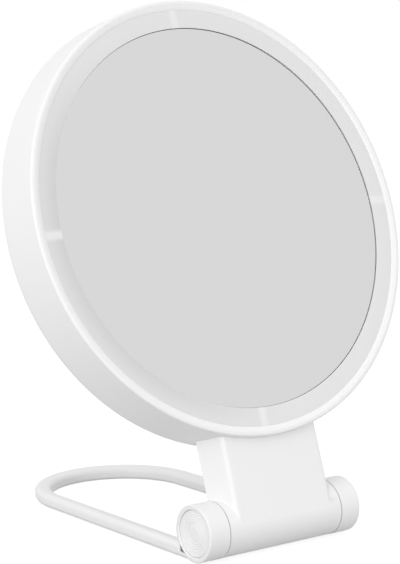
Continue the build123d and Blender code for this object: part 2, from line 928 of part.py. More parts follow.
def mirror_frame():
    """Dish that carries the glass and the light ring, with a flange for the lamp board."""
    outline = polygon(
        (0, frame_front),
        (frame_radius, frame_front),
        (frame_radius, frame_flange_depth),
        (frame_flange_radius, frame_flange_depth),
        (frame_flange_radius, frame_flange_back),
        (frame_skirt_inner, frame_flange_back),
        (frame_skirt_inner, frame_back),
        (0, frame_back),
    )
    body = turned_head(outline)
    for x, z in post_places():
        post_back = frame_back + post_length
        pilot_front = frame_front + post_pilot_cover
        body += back_cylinder(x, z, frame_back - post_root, post_back, screw_radius + boss_wall)
        body -= back_cylinder(x, z, pilot_front, post_back + past, screw_radius + screw_clearance)
    lead_notch = 2 * wire_spacing + 4 * wire_radius
    notch_height = head_centre_height - frame_flange_radius
    notch_front = frame_flange_depth - past
    notch_back = frame_flange_back + past
    body -= depth_box(0, notch_height, lead_notch, 3 * shelf_width, notch_front, notch_back)
    return body


def reflector_ring():
    """Light channel: two walls joined by the supports that show through the ring."""
    inner_wall = ring(lamp_board_inner, lamp_board_inner + reflector_wall, reflector_front, lamp_board_front)
    outer_wall = ring(lamp_board_outer - reflector_wall, lamp_board_outer, reflector_front, lamp_board_front)
    body = inner_wall
    span = lamp_board_outer - lamp_board_inner - reflector_wall
    for count in range(rib_count):
        angle = radians(count * 360 / rib_count)
        x = lamp_circle * sin(angle)
        z = head_centre_height + lamp_circle * cos(angle)
        middle = depth_y((reflector_front + lamp_board_front) / 2)
        rib = Box(rib_width, lamp_board_front - reflector_front, span)
        body += Pos(x, middle, z) * Rot(0, degrees(angle), 0) * rib
    return body + outer_wall


def lamp_board():
    return ring(lamp_board_inner, lamp_board_outer, lamp_board_front, frame_flange_depth)


def lamps():
    pieces = []
    for count in range(lamp_count):
        angle = radians((count + 0.5) * 360 / lamp_count)
        x = lamp_circle * sin(angle)
        z = head_centre_height + lamp_circle * cos(angle)
        lamp = Box(lamp_width, lamp_height, lamp_depth)
        place = Pos(x, depth_y(lamp_board_front - lamp_height / 2), z)
        pieces.append(place * Rot(0, degrees(angle), 0) * lamp)
    return pieces


def frame_screws():
    screws = []
    for x, z in post_places():
        piece = screw(frame_screw_length, screw_radius, screw_head_radius, screw_head_height)
        depth = frame_back + post_length + frame_screw_floor
        screws.append(Pos(x, depth_y(depth), z) * Rot(-90, 0, 0) * piece)
    return screws


# Battery compartment

def battery_box():
    """Open tray behind the door, with a flange and four screw tabs."""
    outer_width = box_inner_width + 2 * box_wall
    outer_height = box_inner_height + 2 * box_wall
    body = depth_box(0, door_centre, outer_width, outer_height, box_floor_front, box_flange_back)
    flange_width = door_width + 2 * door_edge_gap + 2 * door_frame_width
    flange_height = door_height + 2 * door_edge_gap + 2 * door_frame_width
    body += depth_box(0, door_centre, flange_width, flange_height, box_flange_front, box_flange_back)
    tab_size = 2 * (small_head_radius + tab_margin)
    for x, z in box_screw_places():
        side = 1 if x > 0 else -1
        tab_x = x - side * tab_size / 4
        body += depth_box(tab_x, z, tab_size * 1.5, tab_size, box_flange_front, box_flange_back)
    tray_back = box_flange_back + past
    body -= depth_box(0, door_centre, box_inner_width, box_inner_height, box_floor_back, tray_back)
    for x, z in box_screw_places():
        body -= back_cylinder(x, z, box_flange_front - past, tray_back, small_screw_radius + part_clearance)
    lead_slot = 2 * wire_radius + 2 * part_clearance
    lead_floor = door_centre - outer_height / 2
    for x in spread(box_inner_width - 2 * cell_radius, 2):
        body -= depth_box(x, lead_floor, lead_slot, 3 * box_wall, cell_depth, box_flange_front)
    return body


def box_screws():
    screws = []
    for x, z in box_screw_places():
        piece = screw(box_screw_length, small_screw_radius, small_head_radius, small_head_height)
        screws.append(Pos(x, depth_y(box_flange_front), z) * Rot(90, 0, 0) * piece)
    return screws


def cell_rows():
    """X and direction of each cell: +1 has its positive end up."""
    places = spread(cell_pitch * (cell_count - 1), cell_count)
    return [(x, 1 if number % 2 == 0 else -1) for number, x in enumerate(places)]


def cell_bottom(way):
    """Distance of the cell's negative end from the box's middle, along its own way."""
    spring_end = -box_inner_height / 2 + contact_thickness + 2 * face_clearance
    return way * (spring_end + spring_length)


def battery_cells():
    cells = []
    for x, way in cell_rows():
        body = Cylinder(cell_radius, cell_length)
        body = fillet(body.edges(), cell_edge_round)
        nub_middle = (cell_length + cell_nub_length) / 2
        body += Pos(0, 0, nub_middle) * Cylinder(cell_nub_radius, cell_nub_length)
        turn = 0 if way > 0 else 180
        middle = door_centre + cell_bottom(way) + way * cell_length / 2
        cells.append(Pos(x, depth_y(cell_depth), middle) * Rot(turn, 0, 0) * body)
    return cells


def contact_plates():
    """One plate at each end of each cell; joined in pairs so that the cells are in series."""
    plates = []
    rows = cell_rows()
    wall = box_inner_height / 2 - face_clearance - contact_thickness / 2
    for side in (-1, 1):
        first = 0 if side > 0 else 1
        singles = [] if side > 0 else [0, cell_count - 1]
        for number in range(first, cell_count - 1, 2):
            x = (rows[number][0] + rows[number + 1][0]) / 2
            plate = Box(cell_pitch + contact_width, contact_height, contact_thickness)
            plates.append(Pos(x, depth_y(cell_depth), door_centre + side * wall) * plate)
        for number in singles:
            plate = Box(contact_width, contact_height, contact_thickness)
            plates.append(Pos(rows[number][0], depth_y(cell_depth), door_centre + side * wall) * plate)
    return plates


def contact_springs():
    """A conical spring at each cell's negative end."""
    springs = []
    height = spring_length - 2 * spring_wire
    cone = degrees(atan2(spring_radius - spring_top_radius, height))
    for x, way in cell_rows():
        path = Helix(height / spring_turns, height, spring_radius, cone_angle=-cone)
        section = Plane(origin=path @ 0, z_dir=path % 0) * Circle(spring_wire / 2)
        spring = sweep(section, path=path)
        turn = 0 if way > 0 else 180
        start = door_centre + cell_bottom(way) - way * (spring_length - spring_wire)
        springs.append(Pos(x, depth_y(cell_depth), start) * Rot(turn, 0, 0) * spring)
    return springs


def battery_door():
    """Door with a round lower edge and two pivot pins; a latch tongue at the top."""
    middle = depth_y(pivot_depth)
    plate = depth_box(0, door_centre, door_width, door_height, door_inside, door_outside)
    low_edges = plate.edges().filter_by(Axis.X).group_by(Axis.Z)[0]
    plate = fillet(low_edges, door_thickness / 2 - door_round_margin)
    pins = Pos(0, middle, pivot_height) * Rot(0, 90, 0)
    plate += pins * Cylinder(pivot_radius, door_width + 2 * (door_edge_gap + pivot_length))
    for side in (-1, 1):
        x = side * (latch_width + latch_slit_width) / 2
        slit = depth_box(x, door_top - latch_length, latch_slit_width, 2 * latch_length, door_inside - past,
                         door_outside + past)
        plate -= slit
    latch_top = door_top + latch_length - 2 * part_clearance
    latch_low = door_top - latch_root
    plate += depth_box(0, (latch_top + latch_low) / 2, latch_width, latch_top - latch_low, door_inside,
                       door_inside + latch_thickness)
    for count in range(grip_count):
        z = door_top - grip_below_top - count * grip_pitch
        plate -= depth_box(0, z, latch_width - 2 * grip_margin, grip_width, door_outside - grip_depth,
                           door_outside + past)
    return plate


def foam_strip():
    width = box_inner_width - 2 * foam_strip_margin
    front = door_inside - foam_strip_thickness
    return depth_box(0, door_centre, width, foam_strip_height, front, door_inside)


# Driver board and leads

def driver_board():
    z = driver_bottom + driver_height / 2
    board = depth_box(0, z, driver_width, driver_height, driver_front, driver_back)
    for x, z in driver_screw_places():
        hole_radius = small_screw_radius + screw_clearance
        board -= back_cylinder(x, z, driver_front - past, driver_back + past, hole_radius)
    return board


def driver_screws():
    screws = []
    for x, z in driver_screw_places():
        piece = screw(board_screw_length, small_screw_radius, small_head_radius, small_head_height)
        screws.append(Pos(x, depth_y(driver_front), z) * Rot(90, 0, 0) * piece)
    return screws


def driver_parts():
    """Chip, coil, capacitor and three plug housings on the driver board."""
    z = driver_bottom + driver_height / 2
    chip_gap = chip_size / 2 + coil_radius + part_clearance
    capacitor_front = driver_front - capacitor_height
    chip = depth_box(0, z + chip_lift, chip_size, chip_size, driver_front - chip_height, driver_front)
    coil = back_cylinder(-chip_gap, z + coil_lift, driver_front - coil_height, driver_front, coil_radius)
    capacitor = back_cylinder(chip_gap, z + coil_lift, capacitor_front, driver_front, capacitor_radius)
    parts = [chip, coil, capacitor]
    plug_z = driver_bottom + plug_depth / 2
    for x in spread(plug_spacing, 3):
        parts.append(depth_box(x, plug_z, plug_width, plug_depth, driver_front - plug_height, driver_front))
    return parts


def lead_wires():
    """Two wires from the driver board down the tongue and the neck into the barrel."""
    wires = []
    channel_y = depth_y(tongue_front_depth) + wire_radius + wire_gap
    neck_y = depth_y(tongue_front_depth) - neck_wall - wire_step
    plug_y = depth_y(driver_front - plug_height / 2)
    for side in (-1, 1):
        x = side * wire_spacing / 2
        points = [
            (x, plug_y, driver_bottom - face_clearance),
            (x, channel_y, tongue_top - wire_step),
            (x, channel_y, drum_bottom + wire_step / 2),
            (x, neck_y, drum_bottom - wire_drop),
            (x, neck_y, barrel_radius),
            (x, 0, wire_step),
        ]
        wires.append(wire_along(points))
    return wires


def battery_leads():
    """A lead from each end plate of the battery box to the driver board."""
    wires = []
    box_low = door_centre - box_inner_height / 2 - box_wall
    lead_y = depth_y(cell_depth + box_wall)
    plug_y = depth_y(driver_front - plug_height / 2)
    plug_top = driver_bottom + plug_depth
    for x, plug_x in zip(spread(box_inner_width - 2 * cell_radius, 2), spread(plug_spacing, 2)):
        points = [
            (x, lead_y, box_low + box_wall),
            (x, lead_y, box_low - wire_step),
            (plug_x, plug_y, plug_top + 1.5 * wire_step),
            (plug_x, plug_y, plug_top + face_clearance),
        ]
        wires.append(wire_along(points))
    return wires


def head_nodes():
    return {
        "rear_housing": [rear_housing()],
        "front_bezel": [front_bezel()],
        "diffuser_ring": [diffuser_ring()],
        "mirror_glass": [mirror_glass()],
        "foam_disc": [foam_disc()],
        "mirror_frame": [mirror_frame()],
        "reflector_ring": [reflector_ring()],
        "lamp_board": [lamp_board()],
        "lamps": lamps(),
        "frame_screws": frame_screws(),
        "neck_shell": [neck_shell()],
        "neck_back_cover": [neck_back_cover()],
        "neck_screws": neck_screws(),
        "cover_screws": cover_screws(),
        "hinge_bushes": both_sides(hinge_bush()),
        "friction_washers": both_sides(friction_washer()),
        "battery_box": [battery_box()],
        "box_screws": box_screws(),
        "battery_cells": battery_cells(),
        "contact_plates": contact_plates(),
        "contact_springs": contact_springs(),
        "battery_door": [battery_door()],
        "foam_strip": [foam_strip()],
        "driver_board": [driver_board()],
        "driver_parts": driver_parts(),
        "driver_screws": driver_screws(),
        "lead_wires": lead_wires(),
        "battery_leads": battery_leads(),
    }


def stand_nodes():
    return {
        "stand_loop": [stand_loop()],
        "hinge_axles": both_sides(hinge_axle()),
        "axle_nuts": both_sides(axle_nut()),
        "spring_washers": both_sides(spring_washer()),
        "hinge_cover": [hinge_cover()],
        "power_button": [power_button()],
        "switch_plunger": [switch_plunger()],
        "switch_body": [switch_body()],
        "switch_board": [switch_board()],
        "switch_wires": switch_wires(),
    }


def write_parts():
    os.makedirs("parts", exist_ok=True)
    for name, shapes in head_nodes().items():
        export_step(group([tilt(shape) for shape in shapes]), f"parts/{name}.step")
    for name, shapes in stand_nodes().items():
        export_step(group([stand_place(shape) for shape in shapes]), f"parts/{name}.step")


write_parts()
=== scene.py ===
import json
import math

import bmesh
import bpy
from mathutils import Matrix, Vector


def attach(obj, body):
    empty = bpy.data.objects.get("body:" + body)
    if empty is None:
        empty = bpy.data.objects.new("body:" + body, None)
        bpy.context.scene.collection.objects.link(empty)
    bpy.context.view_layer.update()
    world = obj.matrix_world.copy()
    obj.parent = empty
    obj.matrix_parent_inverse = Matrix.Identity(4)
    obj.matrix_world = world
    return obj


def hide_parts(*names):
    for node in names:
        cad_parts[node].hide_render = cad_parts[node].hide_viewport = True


bl_info = {
    "name": "Lighted makeup mirror",
    "version": (1, 0, 0),
    "blender": (4, 5, 0),
    "location": "View3D > Sidebar > Mirror",
    "description": "Shapes, finishes and stage for a lighted makeup mirror on a folding loop stand",
    "category": "Object",
}

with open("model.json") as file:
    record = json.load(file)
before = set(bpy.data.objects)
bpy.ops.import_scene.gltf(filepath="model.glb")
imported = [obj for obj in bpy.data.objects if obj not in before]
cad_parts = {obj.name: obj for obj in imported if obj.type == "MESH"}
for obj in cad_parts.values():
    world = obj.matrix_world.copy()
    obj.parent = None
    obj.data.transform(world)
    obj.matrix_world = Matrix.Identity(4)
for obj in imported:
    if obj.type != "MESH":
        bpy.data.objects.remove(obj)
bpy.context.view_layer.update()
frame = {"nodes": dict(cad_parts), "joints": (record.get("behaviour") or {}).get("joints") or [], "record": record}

MM = 0.001
FULL_TURN = 2 * math.pi

# Where the hinge axis is, from the frame, and how the head sits on it, in metres
hinge_place = Vector(frame["joints"][0]["pos_m"])
tilt_angle = math.radians(18.3)
head_turn = Matrix.Rotation(-tilt_angle, 4, "X")
head_place = Matrix.Translation(hinge_place) @ head_turn
head_centre = 118.8 * MM
rim_front = -14.2 * MM

# The head's turned pieces, in millimetres: radii round its middle, depths behind the front of its lip
BEZEL_INSIDE = 84.3
BEZEL_SEAT = 1.25
BEZEL_SEAT_RADIUS = 85.33
BEZEL_EDGE_RADIUS = 84.33
BEZEL_EDGE_FRONT = 0.9
BEZEL_RIDGE_RADIUS = 85.25
BEZEL_RIDGE_FRONT = 0.42
BEZEL_OUTSIDE = 86.38
BEZEL_OUTSIDE_FRONT = 0.1
BEZEL_BACK = 3.1
RING_INSIDE = 76.95
RING_INSIDE_FRONT = 1.35
RING_LEDGE_BACK = 1.62
RING_OUTSIDE = 84.3
RING_OUTSIDE_FRONT = 0.95
RING_FLANGE_INSIDE = 84.32
RING_FLANGE_OUTSIDE = 85.2
RING_FLANGE_FRONT = 1.3
RING_FLANGE_BACK = 2.85
RING_BACK = 2.95
RING_WALL_INSIDE = 77.25
RING_WALL_OUTSIDE = 78.45
RING_WALL_BACK = 5.7
RING_ROUND = 0.08
GLASS_RADIUS = 77.0
GLASS_FRONT = 2.0
GLASS_BACK = 4.9
GLASS_BEVEL = 0.25
GLASS_ROUND = 0.05

# The neck's foot, in millimetres in the head's upright frame round the hinge axis
BARREL_RADIUS = 10.95
BARREL_HALF = 27.43
NECK_FRONT_HALF = 22.96
NECK_SLANT = (BARREL_HALF - NECK_FRONT_HALF) / BARREL_RADIUS
EDGE_ROUND = 2.2
edge_tangent = EDGE_ROUND / math.tan((math.pi / 2 + math.atan(NECK_SLANT)) / 2)
EDGE_ROUND_START = NECK_FRONT_HALF - edge_tangent
EDGE_ROUND_BACK = -BARREL_RADIUS + edge_tangent * math.cos(math.atan(NECK_SLANT))

# The blends beside the neck's foot: the most they reach out in millimetres, how sharply that gives way
# to less room, the share of the room ahead they may take, and their start and their length in degrees
BLEND_REACH = 0.3
BLEND_POWER = 4
BLEND_SHARE = 0.8
BLEND_START = 3
BLEND_TURN = 80

# The least angles, in degrees, between faces whose edge stays sharp: of all pieces, and of the discs with
# their fine turned grooves
CREASE = 32
DISC_CREASE = 9

# Corners closer than this are one corner, and the same for points of a turned outline, in metres
SAME_CORNER = 1e-6
SAME_POINT = 1e-7

# Large faces count for most in the shading of the corners they share
LARGE_FACE_WEIGHT = 100

# Where the legs' long faces are cut, in millimetres behind the hinge axis
LEG_CUTS = (11.5, 12.5, 16, 30, 60, 90)

# Painted shade in the pockets beside the legs' front ends: where each limit starts and ends, in millimetres
# from the middle, from the hinge axis, behind it and above it, and how dark the painted shade is
POCKET_INSIDE = (31.5, 31.6)
POCKET_OUTSIDE = (36.95, 37.15)
POCKET_RIM = (9.8, 9.85)
POCKET_FRONT = (0.0, 1.0)
POCKET_REAR = (8.25, 8.3)
POCKET_FLOOR = (-8.9, -8.8)
POCKET_TOP = (-5.4, -5.3)
POCKET_PAINTED_SHADE_TONE = 0.55

# Painted light on the light ring, in bands where its four supports stand behind it: in degrees from the
# right, and in millimetres how the bands fade aside and where on their own side they start
RIB_ANGLES = (1.3, 94.6, 182.7, 267.8)
BAND_ASIDE = (0.6, 2.6)
BAND_START = (10, 20)
PAINTED_BAND_LIGHT_SHARE = 0.9
PAINTED_BAND_LIGHT_TONE = 1.09

# The light ring's painted shade on one side: right and up parts of its direction, how near to it, and the
# radii between which it fades, in millimetres
PAINTED_SHADE_RIGHT = -0.94
PAINTED_SHADE_UP = -0.34
PAINTED_SHADE_NEARNESS = (0.2, 0.95)
PAINTED_SHADE_RADII = (77.2, 83.8)
PAINTED_SHADE_TONE = 0.84
PAINTED_SHADE_OUTSIDE = 0.45

# How high the cells' middle is above the head's, and how far from it their bands start, in millimetres
CELL_MIDDLE = -9.0
CELL_BAND = (11.8, 12.2)

# How deep the finest surface grain is, in metres
GRAIN_DEPTH = 0.00004

# The camera: width of its sensor in millimetres, place in metres, angles in degrees with pitch downward
SENSOR_WIDTH = 36.0
CAMERA_PLACE = (-0.38837, -0.53798, 0.17353)
CAMERA_YAW = -36.94
CAMERA_PITCH = 6.54
CAMERA_ROLL = -0.64

# The two lamps' places, where they point and how wide they are, in metres
SIDE_LAMP = (-1.1, -0.42, 0.6)
FRONT_LAMP = (-0.35, -1.2, 0.15)
LAMP_AIM = (0, 0, 0.08)
LAMP_SIZE = 0.9

# The floor's greys: where it is seen, its glow there, and as the object is lit by it
FLOOR_SEEN = 0.25
FLOOR_GLOW = 0.86
FLOOR_UNSEEN = 0.5


# Shader maths

class Wire:
    """A shader socket that adds its own Math nodes when an expression uses it."""

    def __init__(self, finish, socket):
        self.finish = finish
        self.socket = socket

    def maths(self, operation, first, second=None):
        inputs = {0: first} if second is None else {0: first, 1: second}
        return self.finish.node("Math", {"operation": operation}, inputs)

    def __add__(self, other):
        return self.maths("ADD", self, other)

    def __radd__(self, other):
        return self.maths("ADD", other, self)

    def __sub__(self, other):
        return self.maths("SUBTRACT", self, other)

    def __rsub__(self, other):
        return self.maths("SUBTRACT", other, self)

    def __mul__(self, other):
        return self.maths("MULTIPLY", self, other)

    def __rmul__(self, other):
        return self.maths("MULTIPLY", other, self)

    def __truediv__(self, other):
        return self.maths("DIVIDE", self, other)

    def __rtruediv__(self, other):
        return self.maths("DIVIDE", other, self)

    def __pow__(self, other):
        return self.maths("POWER", self, other)

    def __rpow__(self, other):
        return self.maths("POWER", other, self)

    def __abs__(self):
        return self.maths("ABSOLUTE", self)

    def least(self, other):
        return self.maths("MINIMUM", self, other)


class NodeWork:
    """Fills a node tree, of a material or of the sky."""

    def __init__(self, tree):
        self.tree = tree
        self.tree.nodes.clear()

    def node(self, kind, settings=None, inputs=None, output=0):
        """Adds a node and gives its output socket; an input is a wire or a plain value."""
        made = self.tree.nodes.new("ShaderNode" + kind)
        for key, value in (settings or {}).items():
            setattr(made, key, value)
        for key, value in (inputs or {}).items():
            self.feed(made.inputs[key], value)
        return Wire(self, made.outputs[output]) if made.outputs else None

    def feed(self, socket, value):
        if isinstance(value, Wire):
            self.tree.links.new(value.socket, socket)
        else:
            socket.default_value = value

    def step(self, value, low, high, first=0.0, last=1.0):
        """Goes smoothly from first to last as value goes from low to high."""
        settings = {"interpolation_type": "SMOOTHSTEP", "clamp": True}
        inputs = {"Value": value, "From Min": low, "From Max": high, "To Min": first, "To Max": last}
        return self.node("MapRange", settings, inputs)

    def fade(self, value, limits, first=0.0, last=1.0):
        """Goes smoothly from first to last between two limits in millimetres."""
        low, high = limits
        return self.step(value, low * MM, high * MM, first, last)

    def seen(self):
        """1 for rays from the camera, reflections and through glass, 0 for the rest."""
        path = self.node("LightPath").socket.node.outputs
        names = ("Is Camera Ray", "Is Glossy Ray", "Is Transmission Ray")
        camera, glossy, through = (Wire(self, path[name]) for name in names)
        return (camera + glossy + through).least(1.0)


class Finish(NodeWork):
    """A material made of shader nodes."""

    def __init__(self, name):
        self.material = bpy.data.materials.new(name)
        self.material.use_nodes = True
        super().__init__(self.material.node_tree)

    def place(self):
        """Object coordinates, in metres."""
        return self.node("TexCoord", output="Object")

    def head_coordinates(self):
        """Coordinates in the head's own upright frame: X right, Y back, Z up from the glass's centre."""
        centre = head_place @ Vector((0, rim_front, head_centre))
        back = head_turn.inverted().to_3x3() @ centre
        settings = {"vector_type": "POINT"}
        inputs = {"Vector": self.place(), "Location": -back, "Rotation": (tilt_angle, 0, 0)}
        return self.node("Mapping", settings, inputs)

    def split(self, vector):
        made = self.node("SeparateXYZ", None, {"Vector": vector})
        outputs = made.socket.node.outputs
        return [Wire(self, outputs[number]) for number in range(3)]

    def noise(self, vector, scale, detail=2.0, roughness=0.5):
        inputs = {"Vector": vector, "Scale": scale, "Detail": detail, "Roughness": roughness}
        return self.node("TexNoise", {"noise_dimensions": "3D"}, inputs)

    def blend(self, share, first, second):
        """A colour that goes from first to second with a share."""
        made = self.node("Mix", {"data_type": "RGBA", "blend_type": "MIX"}, {0: share}).socket.node
        for name, value in (("A_Color", first), ("B_Color", second)):
            self.feed(self.named(made.inputs, name), value)
        return Wire(self, self.named(made.outputs, "Result_Color"))

    def named(self, sockets, identifier):
        """The socket with an identifier; the Mix node has several sockets of the same name."""
        return next(socket for socket in sockets if socket.identifier == identifier)

    def mottle(self, share, colour, darkest, lightest):
        """A colour that goes from a darker to a lighter shade of itself with a share."""
        return self.blend(share, shade(colour, darkest), shade(colour, lightest))

    def bump(self, height, strength, distance=GRAIN_DEPTH):
        return self.node("Bump", None, {"Height": height, "Strength": strength, "Distance": distance})

    def close(self, **inputs):
        """Ends the material with one surface shader; names are the shader's own sockets."""
        named = {key.replace("_", " ").title().replace("Ior", "IOR"): value for key, value in inputs.items()}
        surface = self.node("BsdfPrincipled", None, named)
        self.node("OutputMaterial", None, {"Surface": surface})
        return self.material


def grey(level):
    return (level, level, level, 1.0)


def shade(colour, factor):
    return (colour[0] * factor, colour[1] * factor, colour[2] * factor, 1.0)


# Finishes

def pocket_painted_shade_share(finish):
    """Share of painted shade: 1 inside the small pockets beside the legs' front ends, 0 elsewhere."""
    across, depth, height = finish.split(finish.place())
    rear = depth - hinge_place.y
    lift = height - hinge_place.z
    away = (rear * rear + lift * lift) ** 0.5
    share = finish.fade(abs(across), POCKET_INSIDE) * finish.fade(abs(across), POCKET_OUTSIDE, 1.0, 0.0)
    share = share * finish.fade(away, POCKET_RIM)
    share = share * finish.fade(rear, POCKET_FRONT) * finish.fade(rear, POCKET_REAR, 1.0, 0.0)
    return share * finish.fade(lift, POCKET_FLOOR) * finish.fade(lift, POCKET_TOP, 1.0, 0.0)


def moulded_plastic(name, colour, roughness, grain, pockets=False):
    """Moulded plastic: fine grain, faint cloudiness, uneven gloss, and painted shade in the stand's pockets."""
    finish = Finish(name)
    place = finish.place()
    cloud = finish.noise(place, scale=35.0, detail=3.0)
    fine = finish.noise(place, scale=2600.0)
    patch = finish.noise(place, scale=160.0, detail=3.0)
    tone = finish.mottle(cloud, colour, darkest=0.985, lightest=1.012)
    if pockets:
        # Painted shade: the colour is darker inside the stand's pockets
        tone = finish.blend(pocket_painted_shade_share(finish), tone, shade(colour, POCKET_PAINTED_SHADE_TONE))
    gloss = finish.step(patch, low=0.3, high=0.7, first=roughness - 0.03, last=roughness + 0.03)
    return finish.close(base_color=tone, roughness=gloss, normal=finish.bump(fine, grain))


def frosted_ring(name, colour):
    """Frosted light ring: painted light in four bands by its supports, painted shade on its left by the glass."""
    finish = Finish(name)
    across, _, along = finish.split(finish.head_coordinates())
    radius = (across * across + along * along) ** 0.5
    # Painted light: lighter bands where the supports stand behind the frosted ring
    band = 0.0
    for degrees in RIB_ANGLES:
        cosine, sine = math.cos(math.radians(degrees)), math.sin(math.radians(degrees))
        aside = abs(along * cosine - across * sine)
        outward = across * cosine + along * sine
        band = finish.fade(aside, BAND_ASIDE, 1.0, 0.0) * finish.fade(outward, BAND_START) + band
    # Painted shade: the ring's colour is darker by the glass on its left side
    toward = (across * PAINTED_SHADE_RIGHT + along * PAINTED_SHADE_UP) / radius
    inside = finish.fade(radius, PAINTED_SHADE_RADII, 1.0, PAINTED_SHADE_OUTSIDE)
    plain = finish.mottle(inside * finish.step(toward, *PAINTED_SHADE_NEARNESS), colour, 1.0, PAINTED_SHADE_TONE)
    tone = finish.blend(band * PAINTED_BAND_LIGHT_SHARE, plain, shade(colour, PAINTED_BAND_LIGHT_TONE))
    relief = finish.bump(finish.noise(finish.place(), scale=3200.0), strength=0.12)
    return finish.close(base_color=tone, roughness=0.55, normal=relief, specular_ior_level=0.35)


def silvered_glass(name, colour):
    """Mirror: silvering behind clear glass, with the faintest unevenness in its gloss."""
    finish = Finish(name)
    haze = finish.noise(finish.place(), scale=22.0)
    tone = finish.mottle(haze, colour, darkest=0.992, lightest=1.008)
    gloss = finish.step(haze, low=0.2, high=0.8, first=0.012, last=0.03)
    return finish.close(base_color=tone, metallic=1.0, roughness=gloss)


def turned_steel(name, colour, roughness):
    """Zinc plated or turned steel: fine streaks and cloudy plating."""
    finish = Finish(name)
    place = finish.place()
    stretched = finish.node("Mapping", None, {"Vector": place, "Scale": (0.25, 1.0, 1.0)})
    streak = finish.noise(stretched, scale=5200.0)
    cloud = finish.noise(place, scale=420.0, detail=3.0)
    tone = finish.mottle(cloud, colour, darkest=0.86, lightest=1.1)
    gloss = finish.step(streak, low=0.3, high=0.7, first=roughness - 0.07, last=roughness + 0.1)
    relief = finish.bump(streak, strength=0.15, distance=0.00002)
    return finish.close(base_color=tone, metallic=1.0, roughness=gloss, normal=relief)


def closed_foam(name, colour):
    """Foam or fibre with small closed cells."""
    finish = Finish(name)
    cells = finish.node("TexVoronoi", {"feature": "F1"}, {"Vector": finish.place(), "Scale": 1500.0})
    tone = finish.mottle(finish.step(cells, low=0.1, high=0.6), colour, darkest=0.7, lightest=1.2)
    relief = finish.bump(cells, strength=0.5, distance=0.0002)
    return finish.close(base_color=tone, roughness=0.92, normal=relief)


def circuit_board(name, colour, track):
    """Solder mask with slightly raised tracks under it."""
    finish = Finish(name)
    place = finish.place()
    cells = finish.node("TexBrick", {"offset": 0.5}, {"Vector": place, "Scale": 420.0, "Mortar Size": 0.06})
    line = Wire(finish, cells.socket.node.outputs["Fac"])
    base = finish.mottle(finish.noise(place, scale=260.0), colour, darkest=0.9, lightest=1.1)
    tone = finish.blend(line, base, track)
    return finish.close(base_color=tone, roughness=0.42, normal=finish.bump(line, strength=0.3))


def wire_jacket(name, colour):
    """Soft insulation, rubbed in places."""
    finish = Finish(name)
    rub = finish.noise(finish.place(), scale=900.0, detail=3.0)
    tone = finish.mottle(rub, colour, darkest=0.75, lightest=1.35)
    relief = finish.bump(rub, strength=0.2, distance=0.00003)
    return finish.close(base_color=tone, roughness=0.5, normal=relief)


def cell_jacket(name, body_colour, band_colour):
    """Printed film round a cell: dark body, a plain metallic band at one end, no marks."""
    finish = Finish(name)
    _, _, height = finish.split(finish.head_coordinates())
    band = finish.fade(abs(height - CELL_MIDDLE * MM), CELL_BAND)
    cloud = finish.noise(finish.place(), scale=700.0)
    dark = finish.mottle(cloud, body_colour, darkest=0.85, lightest=1.15)
    tone = finish.blend(band, dark, band_colour)
    return finish.close(base_color=tone, metallic=0.35, roughness=0.32)


def make_finishes(colours):
    """A finish for each material slot of the record, in the colours of the settings."""
    white, smooth_white = colours.white, colours.smooth_white
    return {
        # The stand's white plastic carries painted shade in its pockets
        "white_plastic": moulded_plastic(
            "satin_white_plastic", white, roughness=0.42, grain=0.1, pockets=True),
        "white_gloss": moulded_plastic("smooth_white_plastic", smooth_white, roughness=0.3, grain=0.04),
        "frosted_plastic": frosted_ring("frosted_light_ring", colours.ring),
        "mirror_glass": silvered_glass("silvered_glass", colours.glass),
        "foam": closed_foam("closed_cell_foam", (0.06, 0.06, 0.065)),
        "white_frame_plastic": moulded_plastic(
            "inner_frame_plastic", (0.72, 0.72, 0.7), roughness=0.5, grain=0.15),
        "reflector_plastic": moulded_plastic(
            "gloss_reflector_plastic", (0.9, 0.9, 0.89), roughness=0.22, grain=0.03),
        "circuit_board": circuit_board("white_solder_mask", (0.75, 0.78, 0.75), (0.6, 0.64, 0.6, 1.0)),
        "driver_board_green": circuit_board(
            "green_solder_mask", (0.01, 0.11, 0.04), (0.03, 0.2, 0.08, 1.0)),
        "lamp_package": moulded_plastic("lamp_phosphor", (0.85, 0.74, 0.3), roughness=0.35, grain=0.05),
        "screw_steel": turned_steel("plated_screw_steel", (0.42, 0.42, 0.43), roughness=0.34),
        "axle_steel": turned_steel("turned_axle_steel", (0.45, 0.45, 0.46), roughness=0.28),
        "spring_steel": turned_steel("bright_spring_steel", (0.36, 0.36, 0.37), roughness=0.3),
        "bush_plastic": moulded_plastic(
            "natural_bush_plastic", (0.64, 0.62, 0.54), roughness=0.45, grain=0.08),
        "friction_fibre": closed_foam("friction_fibre", (0.035, 0.035, 0.037)),
        "contact_metal": turned_steel("nickel_contact_metal", (0.62, 0.6, 0.56), roughness=0.24),
        "cell_jacket": cell_jacket("cell_film", colours.cell_body, shade(colours.cell_band, 1.0)),
        "chip_plastic": moulded_plastic(
            "black_chip_plastic", (0.02, 0.02, 0.022), roughness=0.5, grain=0.2),
        "switch_plastic": moulded_plastic(
            "black_switch_plastic", (0.03, 0.03, 0.032), roughness=0.4, grain=0.1),
        "wire_jacket": wire_jacket("soft_wire_jacket", (0.03, 0.03, 0.032)),
    }


# The finishes by material slot, filled by the operator that makes them
finishes = {}


# Helpers for pieces

def finish_piece(mesh_work, name, slot_name, body, replaced, crease=CREASE):
    """Makes an object of a bmesh, gives it its finish and lets it ride on a body; creases stay sharp."""
    for edge in mesh_work.edges:
        edge.smooth = edge.calc_face_angle(0) <= math.radians(crease)
    mesh = bpy.data.meshes.new(name)
    mesh_work.to_mesh(mesh)
    mesh_work.free()
    mesh.polygons.foreach_set("use_smooth", [True] * len(mesh.polygons))
    piece = bpy.data.objects.new(name, mesh)
    bpy.context.scene.collection.objects.link(piece)
    mesh.materials.append(finishes[slot_name])
    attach(piece, body)
    if replaced:
        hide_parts(replaced)
    return piece


